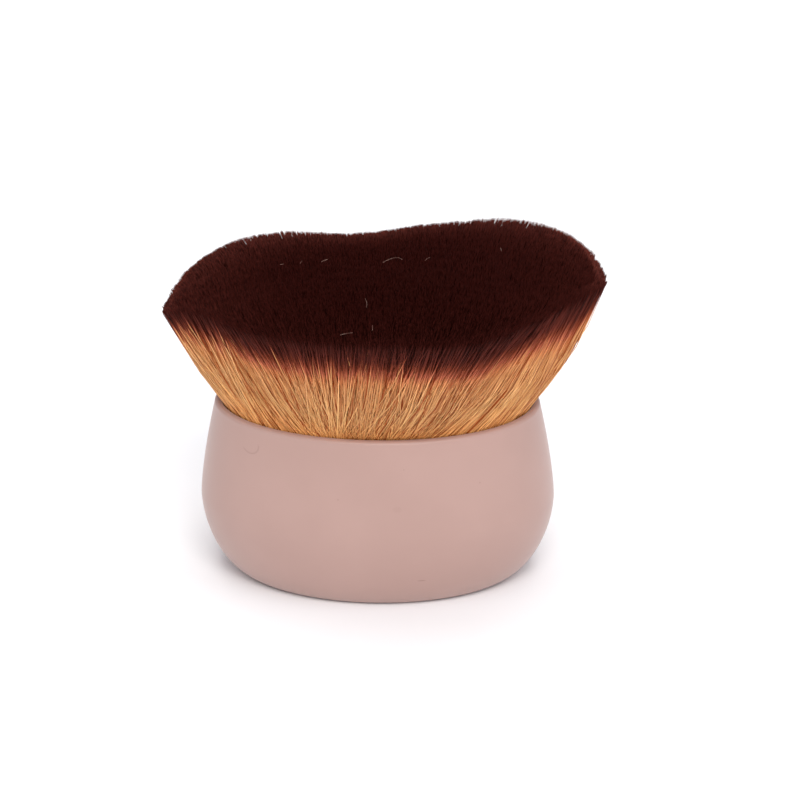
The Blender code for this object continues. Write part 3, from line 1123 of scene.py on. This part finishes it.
        points[..., :2] = mouth[:, None, :2] + along[:, None, :2] * lean[..., None]
        wander = rng.normal(0, 1, (count, 3, 2)) * np.array(self.wander)[:, None]
        together = np.array(self.lock_pull)[:, None] * self.locks.pull(mouth[:, :2])[:, None]
        points[..., :2] += wander + together
        return np.concatenate([root[:, None], mouth[:, None], points, tip[:, None]], axis=1)

    def prisms(self, lines: Array, thickness: Array, roll: Array) -> Array:
        """Puts a three-sided section round each point of the centre lines but the tip.

        The section's corners lie on a circle across the line's own direction, turned by the filament's roll.
        No filament follows the level direction that the circles start from.

        Args:
            lines: the points of each centre line, from the root to the tip.
            thickness: each section's radius.
            roll: each filament's own turn.

        Returns:
            The filaments' vertices, three to a row and then the tip.
        """
        ahead = np.diff(lines, axis=1)
        ahead /= np.linalg.norm(ahead, axis=-1, keepdims=True)
        direction = np.concatenate([ahead[:, :1], (ahead[:, 1:] + ahead[:, :-1]) / 2], axis=1)
        side = np.cross(direction, np.array([0.5, -math.sqrt(0.75), 0.0]))
        side /= np.linalg.norm(side, axis=-1, keepdims=True)
        other = np.cross(direction, side)
        turns = roll[:, None] + np.arange(3) * 2 * math.pi / 3
        cosine, sine = np.cos(turns)[:, None, :, None], np.sin(turns)[:, None, :, None]
        rows = lines[:, :-1, None, :] + thickness[..., None, None] * (
            cosine * side[:, :, None, :] + sine * other[:, :, None, :]
        )
        return np.concatenate([rows.reshape(len(lines), -1, 3), lines[:, -1:]], axis=1)

    def bundle_mesh(self, name: str, vertices: Array, along: Array, shade: Array) -> bpy.types.Mesh:
        """Makes the mesh of one bundle, with its filament map.

        Args:
            name: the mesh's name.
            vertices: each filament's vertices, three to a row and then the tip.
            along: each row's and the tip's place along the map.
            shade: each filament's place across the map.

        Returns:
            The mesh. On its map every side of a filament fills one narrow upright strip.
        """
        count, size = vertices.shape[:2]
        rows = size // 3
        here = np.arange(3)
        after = (here + 1) % 3
        start = np.arange(rows - 1)[:, None] * 3
        above = start + 3
        quads = np.stack([start + here, start + after, above + after, above + here], axis=-1).reshape(-1, 4)
        last = (rows - 1) * 3
        caps = np.stack([last + here, last + after, np.full(3, size - 1)], axis=-1)
        corners = np.concatenate([quads.ravel(), caps.ravel(), [2, 1, 0]])
        counts = np.concatenate([np.full(len(quads), 4), np.full(4, 3)])
        base = np.arange(count)[:, None] * size
        mesh = fill_mesh(name, vertices.reshape(-1, 3), (base + corners).ravel(), np.tile(counts, count))
        quad_rows = np.repeat(np.arange(rows - 1), 3)
        row_of = np.concatenate([
            np.stack([quad_rows, quad_rows, quad_rows + 1, quad_rows + 1], axis=-1).ravel(),
            np.tile([rows - 1, rows - 1, rows], 3),
            [0, 0, 0],
        ])
        cap_sides = [-1.0, 1, 0]
        across = np.concatenate([np.tile([-1.0, 1, 1, -1], len(quads)), np.tile(cap_sides, 3), cap_sides])
        lift = np.concatenate([np.zeros(len(across) - 1), [self.root_cap_lift]])
        u = np.clip(shade, self.map_margin, 1 - self.map_margin)[:, None] + self.strip_half * across
        v = along[:, row_of] + lift
        layer = mesh.uv_layers.new(name=FILAMENT_MAP)
        layer.uv.foreach_set("vector", np.stack([u, v], axis=-1).astype(np.float32).ravel())
        return mesh

    def build(self) -> None:
        """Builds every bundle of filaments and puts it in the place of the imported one.

        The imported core's filaments are two pieces, a left and a right one, to keep each piece small.
        """
        rng = np.random.default_rng(self.seed)
        disk = self.disk_places(rng)
        foot, tip = self.fanned(disk, rng)
        dyed = self.dyed_lengths(tip, rng)
        lines = self.centre_lines(foot, tip, dyed, rng)
        thick = self.radius * rng.uniform(*self.radius_spread, len(disk))
        thickness = thick[:, None] * np.array(self.taper)
        vertices = self.prisms(lines, thickness, rng.uniform(0, 2 * math.pi, len(disk)))
        shade = self.shades(tip, rng)
        along = self.map_rows(disk)
        sector = (np.arctan2(disk[:, 1], disk[:, 0]) % (2 * math.pi) // (math.pi / 3)).astype(int)
        core, left = np.hypot(disk[:, 0], disk[:, 1]) < self.core_border, disk[:, 0] < 0
        owned = {
            bundle.value.replace("bristles", "filaments"): (bundle, ~core & (sector == turn))
            for turn, bundle in enumerate(OUTER_BUNDLES)
        }
        owned["filaments_core_left"] = (Bundle.CORE, core & left)
        owned["filaments_core_right"] = (Bundle.CORE, core & ~left)
        dye = self.dye.make()
        for name, (bundle, own) in owned.items():
            mesh = self.bundle_mesh(name, vertices[own], along[own], shade[own])
            finish_piece(name, mesh, dye, Slot.FILAMENT, bundle.value)


@dataclass(frozen=True)
class LooseFilaments:
    """A few undyed filaments that came loose and lie on the cut.

    Each is a bowed line in the disk of the tips: its start, its end and how far its middle is bowed aside, as
    a share of its length.
    """

    head: Head
    radius: float = 0.000028
    lift: float = 0.00030
    map_top: float = 0.95
    points: int = 12
    finish: PaleFilament = field(default_factory=PaleFilament)
    lines: tuple[tuple[float, ...], ...] = (
        (-0.002, 0.008, 0.088, 0.001, 0.60),
        (-0.061, -0.535, -0.050, -0.681, 0.04),
        (-0.016, -0.860, -0.014, -0.925, 0.03),
        (-0.154, -0.944, -0.096, -0.940, 0.06),
        (-0.464, 0.072, -0.448, 0.052, 0.05),
        (-0.373, 0.067, -0.360, 0.085, 0.05),
        (-0.275, 0.078, -0.241, 0.093, 0.05),
        (0.513, 0.175, 0.523, 0.095, 0.04),
        (0.187, -0.005, 0.209, 0.023, 0.06),
    )

    def build(self) -> None:
        """Lays the filaments on the cut, each rising a little towards its end.

        A point at share s of the way is the start plus s times the way to the end, moved aside by the bow
        times four s times one minus s, and then taken to the cut surface and lifted.
        """
        table = np.array(self.lines)
        start, way = table[:, :2], table[:, 2:4] - table[:, :2]
        aside = np.stack([-way[:, 1], way[:, 0]], axis=-1) * table[:, 4:]
        share = np.linspace(0, 1, self.points)[None, :, None]
        disk = start[:, None] + way[:, None] * share + aside[:, None] * 4 * share * (1 - share)
        lines = self.head.tip_points(disk)
        lines[..., 2] += self.lift * (1 + share[..., 0])
        count = len(table)
        thickness = np.full((count, self.points - 1), self.radius)
        vertices = self.head.prisms(lines, thickness, np.zeros(count))
        along = np.broadcast_to(np.linspace(0, self.map_top, self.points), (count, self.points))
        mesh = self.head.bundle_mesh("loose_filaments", vertices, along, np.linspace(0, 1, count))
        finish_piece("loose_filaments", mesh, self.finish.make(), Slot.FILAMENT)


@dataclass(frozen=True)
class SoftBox:
    """A square soft light that looks at the brush."""

    name: str
    place: tuple[float, float, float]
    side: float
    power: float
    tint: Colour = (1.0, 1.0, 1.0)
    target: tuple[float, float, float] = (0.0, 0.0, 0.035)

    def build(self) -> None:
        """Puts the light in its place."""
        light = bpy.data.lights.new(self.name, "AREA")
        light.size = self.side
        light.energy = self.power
        light.color = self.tint
        item = placed(self.name, light)
        item.location = self.place
        item.rotation_euler = (Vector(self.target) - Vector(self.place)).to_track_quat("-Z", "Y").to_euler()


@dataclass(frozen=True)
class Studio:
    """The plain studio: a pale floor, white surroundings, soft lights and the camera of the photograph."""

    floor_radius: float = 4.0
    floor_thickness: float = 0.004
    floor_gap: float = 0.00002
    floor_rings: int = 12
    floor_segments: int = 96
    surroundings: float = 0.44
    air_tint: Colour = (0.975, 0.98, 1.035)
    camera_turn: float = 2.6
    camera_lift: float = 24.0
    camera_distance: float = 0.650
    camera_aim: Pair = (0.00447, 0.0358)
    camera_range: Pair = (0.01, 50.0)
    focal_share: float = 3303 / 800
    sensor: float = 36.0
    paper: PaperFloor = field(default_factory=PaperFloor)
    lights: tuple[SoftBox, ...] = (
        SoftBox("key_light", (0.16, -0.92, 1.03), 0.7, 11.9, (1.0, 0.985, 0.95)),
        SoftBox("right_light", (0.95, -0.35, 0.75), 0.7, 2.3, (0.97, 0.98, 1.03)),
        SoftBox("left_light", (-0.85, -0.55, 0.60), 0.7, 1.2),
        SoftBox("top_light", (0.0, 0.25, 1.2), 0.9, 7.1, (1.0, 0.99, 0.97)),
        SoftBox("back_light", (-0.25, 0.95, 0.45), 0.8, 0.8),
    )

    def build_camera(self) -> None:
        """Places the camera.

        It looks down by its lift from its distance, aims at a point on the brush's middle plane, and the
        whole is turned round the upright axis.
        """
        lift, turn = math.radians(self.camera_lift), math.radians(self.camera_turn)
        aside, up = self.camera_aim
        away, rise = self.camera_distance * math.cos(lift), self.camera_distance * math.sin(lift)
        place = Matrix.Translation(Vector((aside, -away, up + rise)))
        lens = bpy.data.cameras.new("camera")
        lens.sensor_width = self.sensor
        lens.lens = self.focal_share * self.sensor
        lens.clip_start, lens.clip_end = self.camera_range
        camera = placed("camera", lens)
        tilt = Matrix.Rotation(math.pi / 2 - lift, 4, "X")
        camera.matrix_world = Matrix.Rotation(turn, 4, "Z") @ place @ tilt
        bpy.context.scene.camera = camera

    def build_floor(self) -> None:
        """Lays the floor: a disk of rings whose radii grow by the square, just under the base."""
        rings = self.floor_rings
        radii = self.floor_radius * (np.arange(1, rings + 1) / rings) ** 2
        halves = np.concatenate([radii, radii[::-1]])[:, None] * np.ones(2)
        heights = np.concatenate([np.full(rings, -self.floor_thickness), np.full(rings, -self.floor_gap)])
        mesh = turned_skin("studio_floor", halves, heights, self.floor_segments)
        mesh.materials.append(self.paper.make())
        placed("studio_floor", mesh)

    def build(self) -> None:
        """Builds the floor, the surroundings, the lights and the camera."""
        self.build_floor()
        world = bpy.data.worlds.new("surroundings")
        world.use_nodes = True
        background = world.node_tree.nodes["Background"]
        background.inputs["Color"].default_value = (*self.air_tint, 1.0)
        background.inputs["Strength"].default_value = self.surroundings
        bpy.context.scene.world = world
        bpy.context.scene.view_settings.view_transform = "Standard"
        for light in self.lights:
            light.build()
        self.build_camera()


def main() -> None:
    """Builds the brush and its studio."""
    logging.basicConfig(level=logging.INFO, format="%(name)s: %(message)s")
    handle = Handle()
    handle.build()
    seat = Seat(handle)
    seat.build()
    head = Head(seat)
    head.build()
    LooseFilaments(head).build()
    Studio().build()


if __name__ == "__main__":
    main()
